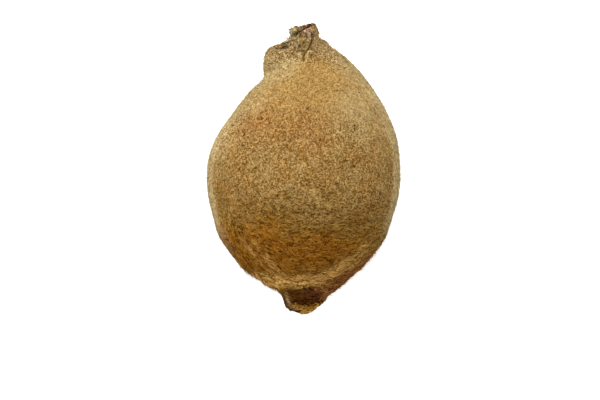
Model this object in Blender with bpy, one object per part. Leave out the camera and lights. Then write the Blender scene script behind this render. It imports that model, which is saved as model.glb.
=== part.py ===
"""A dried false yam fruit lying on its side, with the withered calyx still on its stalk end.

The fruit's long axis runs along Y, its stalk end towards +Y and its beak towards -Y. X runs across it and Z up.
The origin is the middle of the small flat spot that the fruit rests on, under its widest place.
Places along the fruit are called stations: the distance in Y from that widest place.
Angles round the fruit start at +X and turn towards +Z, so the upper face is at 90 degrees.
"""

import math
from dataclasses import dataclass

import bmesh
import bpy
from mathutils import Vector, noise

MM = 0.001

# Driving dimensions of the fruit
HALF_WIDTH = 11.68 * MM
LEFT_LEAST = 1.25 * MM
UPPER_DEPTH = 10.6 * MM
LOWER_DEPTH = 10.4 * MM
FLAT_SPOT_DEPTH = 0.28 * MM
NECK_END = 16.35 * MM
BEAK_END = -17.47 * MM
SPINE_HEIGHT = LOWER_DEPTH - FLAT_SPOT_DEPTH

# Mesh fineness
FRUIT_SEGMENTS = 80
FRUIT_RINGS = 64
CALYX_SEGMENTS = 56
SEPAL_RINGS = 12
SEPAL_TAPER = 0.8

# How softly the swellings of the fruit run into each other, and the rounding of the neck's end
NECK_BLEND = 2.0 * MM
CREST_BLEND = 0.5 * MM
SHOULDER_BLEND = 0.7 * MM
BEAK_BLEND = 1.0 * MM
NECK_END_ROUND = 0.5 * MM

# The spine, from which the skin is measured, leans towards the shoulder and sinks into the beak
SPINE_LEAN = -0.9 * MM
SPINE_LEAN_STATION = 13.2 * MM
SPINE_LEAN_SPREAD = 1.9 * MM
BEAK_X = 0.1 * MM
BEAK_HEIGHT = -2.1 * MM
BEAK_TURN_STATION = -8.0 * MM

# Two folds that dried into the skin level with the ground, above and below the spine
RIM_FOLD_HEIGHT = 4.0 * MM
RIM_FOLD_PROUD = 0.3 * MM
UNDER_FOLD_HEIGHT = -5.0 * MM
UNDER_FOLD_PROUD = 0.15 * MM
FOLD_SPREAD = 0.75 * MM
FOLD_FULL = (3.0 * MM, -6.0 * MM)
FOLD_LEAST = 0.3
FOLD_STALK_END = (13.0 * MM, 8.0 * MM)
FOLD_BEAK_END = (BEAK_END, -14.2 * MM)

# The lip above the beak: a curved ledge that runs up the right flank, with the skin sunk beyond it
LIP_X = -1.2 * MM
LIP_STATION = -14.0 * MM
LIP_CURVE_RIGHT = 50.0
LIP_CURVE_LEFT = 15.0
LIP_STEP = 0.75 * MM
LIP_STEP_RUN = 1.2 * MM
LIP_STEP_SLACKEN = 0.3
LIP_ROLL_PROUD = 0.2 * MM
LIP_ROLL_SPREAD = 0.9 * MM
LIP_ROLL_END = 7.0 * MM
LIP_FADE_HEIGHT = 2.0 * MM

# Shrinkage that leaves the skin a little uneven
LUMP_SIZE = 5.5 * MM
LUMP_HEIGHT = 0.16 * MM
DIMPLE_SIZE = 2.3 * MM
DIMPLE_HEIGHT = 0.06 * MM
LUMP_FULL_RADIUS = 3.0 * MM
LUMP_SEED = Vector((3.1, 7.7, 1.9))

# Where the lip and the beak are smoothed after they are shaped, so that no ledge or crease stays sharp
SMOOTHED_STATION = -5.0 * MM
SMOOTHED_HEIGHT = 3.0 * MM
SMOOTHING_PASSES = 3
SMOOTHING_FACTOR = 0.5

# The calyx: a crumpled cup on the neck's end whose foot runs out in sepals that lie on the neck
CALYX_X = 0.1 * MM
CALYX_GAP = 0.28 * MM
CALYX_THICKNESS = 0.38 * MM
CALYX_EDGE_THICKNESS = 0.2 * MM
CUP_FLOOR = 16.85 * MM
CUP_FOOT = 16.25 * MM
SINUS_STATION = 16.1 * MM
RIM_STATION = 17.3 * MM
RIM_LEAST = 17.02 * MM
RIM_TILT = 0.75 * MM
RIM_TILT_ANGLE = 25.0
BACK_LOBE_RISE = 1.05 * MM
BACK_LOBE_ANGLE = 205.0
BACK_LOBE_SPREAD = 50.0
CRUMPLE = ((3, 40.0, 0.05), (5, 200.0, 0.05), (8, 95.0, 0.03))

# The cup from its hollow middle, over the rim and down the outside: radius, and height from floor 0 to rim 1
CUP_PROFILE = (
    (0.6 * MM, 0.02),
    (0.95 * MM, 0.3),
    (1.12 * MM, 0.8),
    (1.32 * MM, 1.0),
    (1.55 * MM, 0.86),
    (1.85 * MM, 0.3),
    (2.12 * MM, -0.45),
)
UNDERSIDE_RADII = (1.5 * MM, 0.8 * MM, 0.0)

HUSK_COLOUR = (0.36, 0.22, 0.075, 1.0)
CALYX_COLOUR = (0.25, 0.16, 0.08, 1.0)


@dataclass(frozen=True)
class Flank:
    """How one side of the body narrows from its widest station to an end."""

    widest: float
    reach: float
    roundness: float
    fullness: float

    def share(self, station):
        """The part of the widest measure that is left at a station."""
        along = min(abs(station - self.widest) / self.reach, 1.0)
        return (1.0 - along**self.roundness) ** self.fullness


@dataclass(frozen=True)
class Section:
    """An ellipse across the fruit, placed from the middle of the body."""

    x: float
    height: float
    half_width: float
    half_depth: float

    def exit_radius(self, angle, start_x, start_height):
        """How far from a start on the spine a ray leaves the ellipse, or 0 where it misses."""
        if min(self.half_width, self.half_depth) <= 0.0:
            return 0.0
        across, up = math.cos(angle) / self.half_width, math.sin(angle) / self.half_depth
        from_x = (self.x - start_x) / self.half_width
        from_height = (self.height - start_height) / self.half_depth
        a = across * across + up * up
        b = across * from_x + up * from_height
        inside_root = b * b - a * (from_x * from_x + from_height * from_height - 1.0)
        if inside_root <= 0.0:
            return 0.0
        return max((b + math.sqrt(inside_root)) / a, 0.0)


@dataclass(frozen=True)
class Lobe:
    """A swelling that is an ellipse in every section and closes at both ends."""

    x: float
    station: float
    height: float
    half_width: float
    half_depth: float
    reach_up: float
    reach_down: float
    roundness: float

    def section(self, station):
        offset = station - self.station
        along = min(abs(offset) / (self.reach_up if offset > 0 else self.reach_down), 1.0)
        share = math.sqrt(1.0 - along**self.roundness)
        return Section(self.x, self.height, self.half_width * share, self.half_depth * share)


# The body narrows differently on each side: left is -X, right is +X, face is +Z and back is -Z
FLANKS_TO_STALK = {
    "left": Flank(0.0, 15.03 * MM, 1.87, 1.0),
    "right": Flank(0.0, 16.46 * MM, 2.0, 0.69),
    "face": Flank(0.0, 16.5 * MM, 2.0, 0.76),
    "back": Flank(0.0, 16.5 * MM, 2.0, 0.74),
}
FLANKS_TO_BEAK = {
    "left": Flank(-0.4 * MM, 15.35 * MM, 2.2, 0.62),
    "right": Flank(-0.4 * MM, 15.88 * MM, 2.0, 0.68),
    "face": Flank(-0.4 * MM, 15.3 * MM, 2.0, 0.58),
    "back": Flank(-0.4 * MM, 15.6 * MM, 2.0, 0.58),
}

NECK = Lobe(
    x=0.12 * MM, station=13.0 * MM, height=0.2 * MM, half_width=1.75 * MM, half_depth=1.75 * MM,
    reach_up=4.6 * MM, reach_down=3.0 * MM, roundness=6.0,
)
CREST = Lobe(
    x=-1.7 * MM, station=14.0 * MM, height=0.5 * MM, half_width=1.45 * MM, half_depth=1.7 * MM,
    reach_up=1.9 * MM, reach_down=3.0 * MM, roundness=2.0,
)
SHOULDER = Lobe(
    x=-2.75 * MM, station=12.3 * MM, height=0.9 * MM, half_width=2.2 * MM, half_depth=2.4 * MM,
    reach_up=3.1 * MM, reach_down=2.6 * MM, roundness=3.5,
)
BEAK = Lobe(
    x=BEAK_X - 0.1 * MM, station=-13.45 * MM, height=BEAK_HEIGHT, half_width=3.65 * MM, half_depth=2.2 * MM,
    reach_up=4.0 * MM, reach_down=4.0 * MM, roundness=1.3,
)


@dataclass(frozen=True)
class Dent:
    """A hollow pressed into the upper face, deepest on the line between two places seen from above."""

    start: tuple
    end: tuple
    spread: float
    deep: float

    def depth_at(self, x, station):
        """How far the dent pushes the skin in at a place on the upper face."""
        run_x, run_y = self.end[0] - self.start[0], self.end[1] - self.start[1]
        off_x, off_y = x - self.start[0], station - self.start[1]
        along = (off_x * run_x + off_y * run_y) / (run_x * run_x + run_y * run_y)
        along = min(max(along, 0.0), 1.0)
        off = math.hypot(off_x - along * run_x, off_y - along * run_y)
        return self.deep * math.exp(-((off / self.spread) ** 2))


# The hollow in the beak, the gash on the shoulder's top and the valley at the shoulder's foot
FACE_DENTS = (
    Dent((-0.8 * MM, -15.3 * MM), (1.0 * MM, -15.4 * MM), 1.25 * MM, 0.5 * MM),
    Dent((-3.2 * MM, 14.85 * MM), (-1.9 * MM, 14.85 * MM), 0.35 * MM, 0.4 * MM),
    Dent((-4.6 * MM, 11.1 * MM), (-2.0 * MM, 12.3 * MM), 0.8 * MM, 0.35 * MM),
)


@dataclass(frozen=True)
class Sepal:
    """A lobe of the calyx that lies on the neck: its middle, half its spread and its twist are angles."""

    angle: float
    half_spread: float
    tip_station: float
    twist: float

    def share(self, angle):
        """1 on the sepal's middle line and 0 beside it."""
        return max(1.0 - abs(turn_between(angle, self.angle)) / self.half_spread, 0.0)


SEPALS = (
    Sepal(90.0, 29.0, 13.2 * MM, -14.0),
    Sepal(151.0, 30.0, 15.5 * MM, 0.0),
    Sepal(212.0, 30.0, 15.0 * MM, 0.0),
    Sepal(276.0, 32.0, 14.3 * MM, -8.0),
    Sepal(330.0, 27.0, 15.3 * MM, 0.0),
)


def smooth_step(value, start, end):
    """0 before start, 1 after end, and an even curve between; start may be the higher."""
    share = min(max((value - start) / (end - start), 0.0), 1.0)
    return share * share * (3.0 - 2.0 * share)


def smooth_max(first, second, width):
    """The larger of two radii, with the crease between them rounded over this width."""
    near = max(width - abs(first - second), 0.0) / width
    return max(first, second) + near * near * width / 4.0


def bump(value, centre, spread):
    """1 at the centre, falling away evenly to both sides."""
    return math.exp(-(((value - centre) / spread) ** 2))


def turn_between(first, second):
    """The shortest turn in degrees from one angle to another."""
    return (first - second + 180.0) % 360.0 - 180.0


def spine_at(station):
    """Where the spine lies across and above its usual place."""
    to_beak = smooth_step(station, BEAK_TURN_STATION, BEAK_END)
    lean = SPINE_LEAN * bump(station, SPINE_LEAN_STATION, SPINE_LEAN_SPREAD)
    return lean + BEAK_X * to_beak, BEAK_HEIGHT * to_beak


def body_section(station):
    """The ellipse that reaches as far left, right, up and down as the four flanks do."""
    flanks = FLANKS_TO_STALK if station > 0 else FLANKS_TO_BEAK
    left = max(HALF_WIDTH * flanks["left"].share(station), LEFT_LEAST)
    right = HALF_WIDTH * flanks["right"].share(station)
    face = UPPER_DEPTH * flanks["face"].share(station)
    back = LOWER_DEPTH * flanks["back"].share(station)
    return Section((right - left) / 2.0, (face - back) / 2.0, (right + left) / 2.0, (face + back) / 2.0)


def fold_relief(station, height):
    """How far the two level folds stand proud of the skin."""
    strength = FOLD_LEAST + (1.0 - FOLD_LEAST) * smooth_step(station, *FOLD_FULL)
    strength *= smooth_step(station, *FOLD_BEAK_END) * smooth_step(station, *FOLD_STALK_END)
    upper = RIM_FOLD_PROUD * bump(height, RIM_FOLD_HEIGHT, FOLD_SPREAD)
    under = UNDER_FOLD_PROUD * bump(height, UNDER_FOLD_HEIGHT, FOLD_SPREAD)
    return strength * (upper + under)


def lip_relief(x, station, height):
    """The rolled lip, and how far the skin beyond it is sunk."""
    off = x - LIP_X
    line = LIP_STATION + off * off * (LIP_CURVE_RIGHT if off > 0 else LIP_CURVE_LEFT)
    beyond = line - station
    relief = LIP_ROLL_PROUD * bump(beyond, -LIP_ROLL_SPREAD / 2.0, LIP_ROLL_SPREAD)
    relief *= smooth_step(abs(off), LIP_ROLL_END, 0.0)
    relief -= LIP_STEP * smooth_step(beyond, 0.0, LIP_STEP_RUN + LIP_STEP_SLACKEN * abs(off))
    return relief * smooth_step(height, 0.0, LIP_FADE_HEIGHT)


def skin_radius(station, angle):
    """Distance from the spine to the skin, with the swellings, folds and hollows."""
    lean, rise = spine_at(station)
    direction_x, direction_z = math.cos(angle), math.sin(angle)
    radius = body_section(station).exit_radius(angle, lean, rise)
    for lobe, blend in ((NECK, NECK_BLEND), (CREST, CREST_BLEND), (SHOULDER, SHOULDER_BLEND)):
        reach = lobe.section(station).exit_radius(angle, lean, rise)
        radius = smooth_max(radius, reach, blend) if reach > 0.0 else radius

    x, height = lean + radius * direction_x, rise + radius * direction_z
    radius += fold_relief(station, height)
    if station < 0.0:
        radius += lip_relief(x, station, height)
        reach = BEAK.section(station).exit_radius(angle, lean, rise)
        radius = smooth_max(radius, reach, BEAK_BLEND) if reach > 0.0 else radius
    if direction_z > 0.0:
        radius -= sum(dent.depth_at(x, station) for dent in FACE_DENTS)

    place = Vector((x, station, height))
    fade = smooth_step(radius, 0.0, LUMP_FULL_RADIUS)
    radius += LUMP_HEIGHT * fade * noise.noise(place / LUMP_SIZE + LUMP_SEED)
    radius += DIMPLE_HEIGHT * fade * noise.noise(place / DIMPLE_SIZE + LUMP_SEED)

    from_neck_end = (NECK_END - station) / NECK_END_ROUND
    if from_neck_end < 1.0:
        radius *= math.sqrt(max(1.0 - (1.0 - from_neck_end) ** 2, 0.0))
    return 0.0 if station <= BEAK_END else max(radius, 0.0)


def skin_point(station, angle, outward=0.0):
    """A place on the skin, or this far outside it along the ray from the spine."""
    lean, rise = spine_at(station)
    radius = skin_radius(station, angle) + outward
    height = max(SPINE_HEIGHT + rise + radius * math.sin(angle), 0.0)
    return Vector((lean + radius * math.cos(angle), station, height))


def rim_station(angle):
    """The calyx's rim stands higher at its back, where one lobe still points along the fruit."""
    tilt = RIM_TILT * math.cos(math.radians(angle - RIM_TILT_ANGLE))
    lobe = BACK_LOBE_RISE * bump(turn_between(angle, BACK_LOBE_ANGLE), 0.0, BACK_LOBE_SPREAD)
    return max(RIM_STATION + tilt + lobe, RIM_LEAST)


def calyx_profile(angle):
    """The calyx cut along the fruit at an angle in degrees, from its hollow to its underside."""
    turn = math.radians(angle)
    crumple = 1.0 + sum(
        size * math.sin(waves * (turn + math.radians(phase))) for waves, phase, size in CRUMPLE
    )
    rim = rim_station(angle)
    yield Vector((CALYX_X, CUP_FLOOR, SPINE_HEIGHT))
    for radius, share in CUP_PROFILE:
        across, up = math.cos(turn) * radius * crumple, math.sin(turn) * radius * crumple
        yield Vector((CALYX_X + across, CUP_FLOOR + (rim - CUP_FLOOR) * share, SPINE_HEIGHT + up))

    sepal = max(SEPALS, key=lambda one: one.share(angle))
    length = SINUS_STATION - sepal.tip_station
    edge = SINUS_STATION - length * sepal.share(angle) ** SEPAL_TAPER
    steps = [step / SEPAL_RINGS for step in range(SEPAL_RINGS + 1)]
    for along, outer in [(step, True) for step in steps] + [(step, False) for step in reversed(steps)]:
        station = CUP_FOOT + (edge - CUP_FOOT) * along
        down_sepal = smooth_step(station, SINUS_STATION, sepal.tip_station)
        skewed = turn + math.radians(sepal.twist) * down_sepal
        thickness = CALYX_THICKNESS + (CALYX_EDGE_THICKNESS - CALYX_THICKNESS) * along**2
        yield skin_point(station, skewed, CALYX_GAP + (thickness if outer else 0.0))

    under = NECK_END + CALYX_GAP
    for radius in UNDERSIDE_RADII:
        yield Vector((CALYX_X + math.cos(turn) * radius, under, SPINE_HEIGHT + math.sin(turn) * radius))


def plain_material(name, colour, roughness):
    """A dull dry finish."""
    material = bpy.data.materials.new(name)
    material.use_nodes = True
    shader = material.node_tree.nodes["Principled BSDF"]
    shader.inputs["Base Color"].default_value = colour
    shader.inputs["Roughness"].default_value = roughness
    shader.inputs["Metallic"].default_value = 0.0
    return material


def new_object(name, bm, material, collection):
    """Turns a bmesh into a smooth-shaded object in a collection."""
    mesh = bpy.data.meshes.new(name)
    bm.to_mesh(mesh)
    bm.free()
    mesh.shade_smooth()
    mesh.materials.append(material)
    made = bpy.data.objects.new(name, mesh)
    collection.objects.link(made)
    return made


def build_fruit(collection):
    """A sphere whose rings become the stations along the fruit."""
    bm = bmesh.new()
    bmesh.ops.create_uvsphere(bm, u_segments=FRUIT_SEGMENTS, v_segments=FRUIT_RINGS, radius=1.0)
    middle = (NECK_END + BEAK_END) / 2.0
    half_length = (NECK_END - BEAK_END) / 2.0
    for vertex in bm.verts:
        station = middle - half_length * vertex.co.z
        vertex.co = skin_point(station, math.atan2(vertex.co.y, vertex.co.x))
    smoothed = [
        vertex for vertex in bm.verts if vertex.co.y < SMOOTHED_STATION and vertex.co.z > SMOOTHED_HEIGHT
    ]
    for _ in range(SMOOTHING_PASSES):
        bmesh.ops.smooth_vert(
            bm, verts=smoothed, factor=SMOOTHING_FACTOR, use_axis_x=True, use_axis_y=True, use_axis_z=True
        )
    return new_object("fruit", bm, plain_material("dry velvety husk", HUSK_COLOUR, 0.9), collection)


def build_calyx(collection):
    """A sphere whose meridians become the calyx's profile at each angle."""
    rings = len(list(calyx_profile(0.0))) - 1
    bm = bmesh.new()
    bmesh.ops.create_uvsphere(bm, u_segments=CALYX_SEGMENTS, v_segments=rings, radius=1.0)
    profiles = {}
    for vertex in bm.verts:
        ring = round(math.acos(min(max(-vertex.co.z, -1.0), 1.0)) / math.pi * rings)
        segment = round(math.atan2(vertex.co.y, vertex.co.x) / math.tau * CALYX_SEGMENTS) % CALYX_SEGMENTS
        if segment not in profiles:
            profiles[segment] = list(calyx_profile(360.0 * segment / CALYX_SEGMENTS))
        vertex.co = profiles[segment][ring]
    return new_object("calyx", bm, plain_material("withered calyx", CALYX_COLOUR, 0.85), collection)


def main():
    for left_over in list(bpy.data.objects):
        bpy.data.objects.remove(left_over)
    collection = bpy.data.collections.new("false yam fruit")
    bpy.context.scene.collection.children.link(collection)
    build_fruit(collection)
    build_calyx(collection)


main()
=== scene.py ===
"""A dried false yam fruit, lying on its side on a pale table.

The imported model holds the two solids, `fruit` and `calyx`. This script stands finer pieces in their
places: a skin with the small relief of felted hair, the hair itself, and the withered calyx with its
ridges and torn edge. Lengths are in metres, unless a comment says millimetres.
"""

import logging
import math
from dataclasses import dataclass
from enum import Enum
from typing import Any

import bmesh
import bpy
import numpy as np
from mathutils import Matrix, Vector, noise


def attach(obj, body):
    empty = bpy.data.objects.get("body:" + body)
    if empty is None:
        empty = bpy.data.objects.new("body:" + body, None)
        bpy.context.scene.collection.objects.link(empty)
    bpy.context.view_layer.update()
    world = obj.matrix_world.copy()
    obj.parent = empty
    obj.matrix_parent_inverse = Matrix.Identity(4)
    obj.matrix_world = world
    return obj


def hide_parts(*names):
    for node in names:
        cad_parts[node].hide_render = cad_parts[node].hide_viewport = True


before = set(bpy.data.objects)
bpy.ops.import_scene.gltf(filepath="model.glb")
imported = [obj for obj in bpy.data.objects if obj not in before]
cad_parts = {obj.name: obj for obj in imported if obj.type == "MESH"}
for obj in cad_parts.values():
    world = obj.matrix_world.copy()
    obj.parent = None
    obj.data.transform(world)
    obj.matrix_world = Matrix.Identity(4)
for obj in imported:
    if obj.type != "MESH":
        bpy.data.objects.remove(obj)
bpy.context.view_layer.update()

LOG = logging.getLogger("false_yam_fruit")
MM = 0.001
SPINE_HEIGHT = 10.12  # mm, where the fruit is widest

Array = np.ndarray
Piece, Mesh, Material, Socket = bpy.types.Object, bpy.types.Mesh, bpy.types.Material, bpy.types.NodeSocket
Triple = tuple[float, float, float]
Colour = Triple
Line = tuple[tuple[float, float], ...]  # corners or spots in millimetres, seen from above

# The crack down the neck, dark partly in its own colour and partly by painted shade, and the dark specks
# beside it; both run on over the calyx.
CREASE: Line = ((1.02, 16.6), (0.95, 15.5), (0.6, 14.65), (0.1, 13.7), (0.03, 13.2))
SPECKS: Line = (
    (-1.69, 15.66), (-1.5, 15.2), (-0.87, 15.6), (-0.47, 15.05), (0.04, 15.4), (0.45, 16.17), (-1.0, 14.9),
)
SPECK_SPREAD = 0.15


class Mark(Enum):
    """Values between 0 and 1 that a skin keeps at each point, for its colours, relief and hair."""

    GOLD = "gold"  # the palest gold, below the stalk end
    WARM = "warm"  # reddish patches above the middle
    BROWN = "brown"  # the browner half towards the beak
    DEEP = "deep"  # the deepest brown, above the lip
    RIM = "rim"  # painted sheen: the paler, greener strip round the sides; also paler patches, one of them a painted highlight below the shoulder
    LIP = "lip"  # the pale swollen lip above the beak, its wrinkles and the ridge up its right: paler felt, with a painted highlight where they face the light
    BAND = "band"  # painted shade: the dark strip beyond the lip, where the surface falls away from the light
    HOLLOW = "hollow"  # the dark hollow in the beak: its own dark red-brown, deepened by painted shade
    SHOULDER = "shoulder"  # the mottled swelling beside the stalk end
    NECK = "neck"  # the brown neck round the calyx
    PIT = "pit"  # the small dimple in the middle
    CREASE = "crease"  # painted shade in the crack down the neck over its own dark, painted shadow under the sepal's edge and along the beak, and the dark specks
    FOLD = "fold"  # the brown line along the folds at the sides
    GLINT = "glint"  # thin pale lines on the beak's edge
    TIP = "beak_tip"  # the golden tip of the beak
    SIDE = "side"  # the sides, where matted strands run along the outline
    LOWER = "lower"  # the brown end, where matted strands run across
    COVER = "cover"  # where hair grows: not under the fruit, nor in the creases
    STRANDS = "strands"  # where the long strands grow, short of the beak
    COLLAR = "collar"  # the top of the neck, where hair reaches over the calyx's foot
    RAGGED = "ragged"  # where the calyx is torn into shreds


class Flow(Enum):
    """Directions that the skin keeps at each point: where it is in a pattern, or where its hair points."""

    ACROSS = "across"  # counts strands that run across, one to each unit
    ALONG = "along"  # counts strands that run along the outline
    LIE = "lie"  # the way the hair lies


def ease(values: Array | float, low: float, high: float) -> Array:
    """Eases from 0 at one value to 1 at another.

    Args:
        values: The numbers to ease.
        low: Where the result is 0.
        high: Where the result is 1; it may be below low.

    Returns:
        Numbers between 0 and 1.
    """
    share = np.clip((np.asarray(values, float) - low) / (high - low), 0.0, 1.0)
    return share * share * (3.0 - 2.0 * share)


def hill(distance: Array, spread: float) -> Array:
    """A bell shape, 1 at no distance.

    Args:
        distance: How far each point is.
        spread: The distance at which about a third is left.

    Returns:
        Numbers between 0 and 1.
    """
    return np.exp(-((distance / spread) ** 2))


def wander(places: Array, size: float | Triple, seed: float = 0.0) -> Array:
    """Smooth random values over a set of places.

    Args:
        places: One row of three numbers for each place.
        size: How far apart the swells are, for all directions or each.
        seed: Shifts the pattern to another one.

    Returns:
        One number from about -1 to 1 for each place.
    """
    rows = (places / np.asarray(size, float) + seed).tolist()
    return np.fromiter((noise.noise(row) for row in rows), float, len(rows))


def ridges(places: Array, size: float | Triple, seed: float = 0.0) -> Array:
    """Returns sharp-topped ridges, from -1 to 1; the arguments are those of wander."""
    return 1.0 - 4.0 * np.abs(wander(places, size, seed))


def line_distance(x: Array, y: Array, line: Line) -> Array:
    """How far each point is from a bent line, seen from above.

    Args:
        x: The points' x.
        y: Their y.
        line: The line's corners.

    Returns:
        The distances.
    """
    nearest = np.full(len(x), np.inf)
    for (x0, y0), (x1, y1) in zip(line, line[1:]):
        length = math.hypot(x1 - x0, y1 - y0)
        share = np.clip(((x - x0) * (x1 - x0) + (y - y0) * (y1 - y0)) / length**2, 0.0, 1.0)
        nearest = np.minimum(nearest, np.hypot(x - x0 - share * (x1 - x0), y - y0 - share * (y1 - y0)))
    return nearest


@dataclass(frozen=True)
class Patch:
    """A soft oval patch of the skin, seen from above. Lengths are in millimetres."""

    x: float
    y: float
    wide: float
    long: float
    top: float = 1.0

    def values(self, x: Array, y: Array) -> Array:
        """Returns the top value in the middle of the patch, easing to 0 further out."""
        return self.top * hill(np.hypot((x - self.x) / self.wide, (y - self.y) / self.long), 1.0)


@dataclass(frozen=True)
class NeckShape:
    """Slims the end of the neck, and the calyx on it, to the narrow shape that both have at the stalk."""

    left: float = 0.2
    right: float = 0.13
    waist: float = 0.13

    def slimmed(self, at: Array) -> Array:
        """Returns these points, in millimetres, moved towards the neck's middle."""
        x, y = at[:, 0], at[:, 1]
        left = self.left * ease(y, 15.4, 16.0) + self.waist * hill(y - 16.15, 0.35)
        share = np.where(x < 0, left, self.right * ease(y, 15.5, 16.4))
        moved = at.copy()
        moved[:, 0] = x * (1.0 - share)
        return moved


def near_specks(x: Array, y: Array) -> Array:
    """Returns 1 in the middle of each dark speck on the neck and 0 away from all of them."""
    return np.max([hill(np.hypot(x - across, y - along), SPECK_SPREAD) for across, along in SPECKS], axis=0)


class Value:
    """A number from a node, for use in Python sums."""

    def __init__(self, wiring: "Wiring", socket: Socket) -> None:
        """Wraps an output socket."""
        self.wiring = wiring
        self.socket = socket

    def maths(self, operation: str, *others: "Value | float", clamp: bool = False) -> "Value":
        """Returns the result of a Math node that this value and the others go into."""
        return self.wiring.maths(operation, (self, *others), clamp)

    def __add__(self, other: "Value | float") -> "Value":
        """Returns self + other."""
        return self.maths("ADD", other)

    __radd__ = __add__

    def __mul__(self, other: "Value | float") -> "Value":
        """Returns self * other."""
        return self.maths("MULTIPLY", other)

    __rmul__ = __mul__

    def __sub__(self, other: "Value | float") -> "Value":
        """Returns self - other."""
        return self.maths("SUBTRACT", other)

    def __rsub__(self, other: float) -> "Value":
        """Returns other - self."""
        return self.wiring.maths("SUBTRACT", (other, self))

    def __truediv__(self, other: "Value | float") -> "Value":
        """Returns self / other."""
        return self.maths("DIVIDE", other)

    def __abs__(self) -> "Value":
        """Returns the value without its sign."""
        return self.maths("ABSOLUTE")

    def kept(self) -> "Value":
        """Returns the value kept between 0 and 1."""
        return self.maths("ADD", 0.0, clamp=True)

    def eased(self, low: float, high: float) -> "Value":
        """Returns 0 at low, 1 at high and a smooth change between."""
        sockets = {"Value": self, "From Min": low, "From Max": high}
        made = self.wiring.node("ShaderNodeMapRange", {"interpolation_type": "SMOOTHSTEP"}, sockets)
        return Value(self.wiring, made.outputs["Result"])


class Wiring:
    """Builds one node tree."""

    def __init__(self, tree: bpy.types.NodeTree) -> None:
        """Starts from an empty tree."""
        self.tree = tree

    def node(
        self, kind: str, settings: dict[str, Any] | None = None, sockets: dict[Any, Any] | None = None
    ) -> bpy.types.Node:
        """Adds a node.

        Args:
            kind: The node's type.
            settings: Its properties, which are set first.
            sockets: Values or links of its sockets, by name or number.

        Returns:
            The node.
        """
        made = self.tree.nodes.new(kind)
        for name, value in (settings or {}).items():
            setattr(made, name, value)
        for key, value in (sockets or {}).items():
            socket = made.inputs[key]
            if isinstance(value, Value):
                self.tree.links.new(value.socket, socket)
            elif isinstance(value, Socket):
                self.tree.links.new(value, socket)
            elif socket.type == "RGBA":
                socket.default_value = (*value[:3], 1.0)
            else:
                socket.default_value = value
        return made

    def maths(self, operation: str, inputs: tuple[Value | float, ...], clamp: bool = False) -> Value:
        """Adds a Math node.

        Args:
            operation: The node's operation.
            inputs: What goes into its sockets, in order.
            clamp: Whether the result is kept between 0 and 1.

        Returns:
            The node's result.
        """
        settings = {"operation": operation, "use_clamp": clamp}
        return Value(self, self.node("ShaderNodeMath", settings, dict(enumerate(inputs))).outputs[0])


class Recipe(Wiring):
    """Builds one material."""

    def __init__(self, name: str) -> None:
        """Starts an empty material of this name."""
        self.material = bpy.data.materials.new(name)
        self.material.use_nodes = True
        super().__init__(self.material.node_tree)
        self.tree.nodes.clear()

    def place(self) -> Socket:
        """Returns the Object coordinates."""
        return self.node("ShaderNodeTexCoord").outputs["Object"]

    def mark(self, name: Mark | str) -> Value:
        """Returns the value that the mesh keeps under this name."""
        settings = {"attribute_name": name.value if isinstance(name, Mark) else name}
        return Value(self, self.node("ShaderNodeAttribute", settings).outputs["Fac"])

    def stretched(self, scale: Triple) -> Socket:
        """Returns the Object coordinates, scaled by these numbers."""
        sockets = {"Vector": self.place(), "Scale": scale}
        return self.node("ShaderNodeMapping", {"vector_type": "POINT"}, sockets).outputs["Vector"]

    def speckle(self, scale: Triple, detail: float, roughness: float = 0.5, curl: float = 0.0) -> Value:
        """Noise over the surface.

        Args:
            scale: Swells to the metre, for each direction.
            detail: How many finer layers there are.
            roughness: How strong the finer layers are.
            curl: How much the swells are bent.

        Returns:
            A value between 0 and 1, mostly near a half.
        """
        return self.noise_at(self.stretched(scale), detail, roughness, curl)

    def noise_at(self, place: Socket, detail: float, roughness: float, curl: float) -> Value:
        """Noise at a given place; the other arguments are those of speckle."""
        sockets = {"Vector": place, "Scale": 1.0, "Detail": detail, "Roughness": roughness}
        sockets["Distortion"] = curl
        return Value(self, self.node("ShaderNodeTexNoise", None, sockets).outputs["Fac"])

    def lines(self, noise_value: Value, width: float) -> Value:
        """Thin light lines where noise passes a half.

        Args:
            noise_value: The noise.
            width: How wide the lines are, in the noise's own units.

        Returns:
            1 on the lines and 0 away from them.
        """
        return (1.0 - abs(noise_value - 0.5) / width).kept()

    def flow(self, kind: Flow) -> Socket:
        """Returns a direction that the mesh keeps."""
        return self.node("ShaderNodeAttribute", {"attribute_name": kind.value}).outputs["Vector"]

    def bumps(self, height: Value, strength: float) -> Socket:
        """Returns the normals of a surface with small bumps of this height."""
        sockets = {"Strength": strength, "Distance": 0.06 * MM, "Height": height}
        return self.node("ShaderNodeBump", None, sockets).outputs[0]

    def mix(self, factor: Value | float, first: Any, second: Any, blend: str = "MIX") -> Socket:
        """Mixes two colours.

        Args:
            factor: How much of the second one.
            first: A colour or a link.
            second: A colour, a value or a link.
            blend: The way of mixing.

        Returns:
            The mixed colour.
        """
        settings = {"data_type": "RGBA", "blend_type": blend, "clamp_factor": True}
        return self.node("ShaderNodeMix", settings, {0: factor, 6: first, 7: second}).outputs[2]

    def surface(self, colour: Any, roughness: float, shine: float = 0.5, **more: Any) -> Material:
        """Closes the material with one Principled shader.

        Args:
            colour: Its colour.
            roughness: How rough it is.
            shine: How strongly it mirrors.
            more: Values or links of other sockets, with _ for a space.

        Returns:
            The finished material.
        """
        sockets = {"Base Color": colour, "Roughness": roughness, "Specular IOR Level": shine}
        sockets |= {name.replace("_", " "): value for name, value in more.items()}
        shader = self.node("ShaderNodeBsdfPrincipled", None, sockets)
        self.node("ShaderNodeOutputMaterial", None, {"Surface": shader.outputs[0]})
        return self.material


@dataclass(frozen=True)
class Tint:
    """A colour for one marked part of the skin: how much it covers, in patches, and less on light strands."""

    mark: Mark
    colour: Colour
    strength: float
    mottle: float = 0.0
    let_through: float = 0.0


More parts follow.
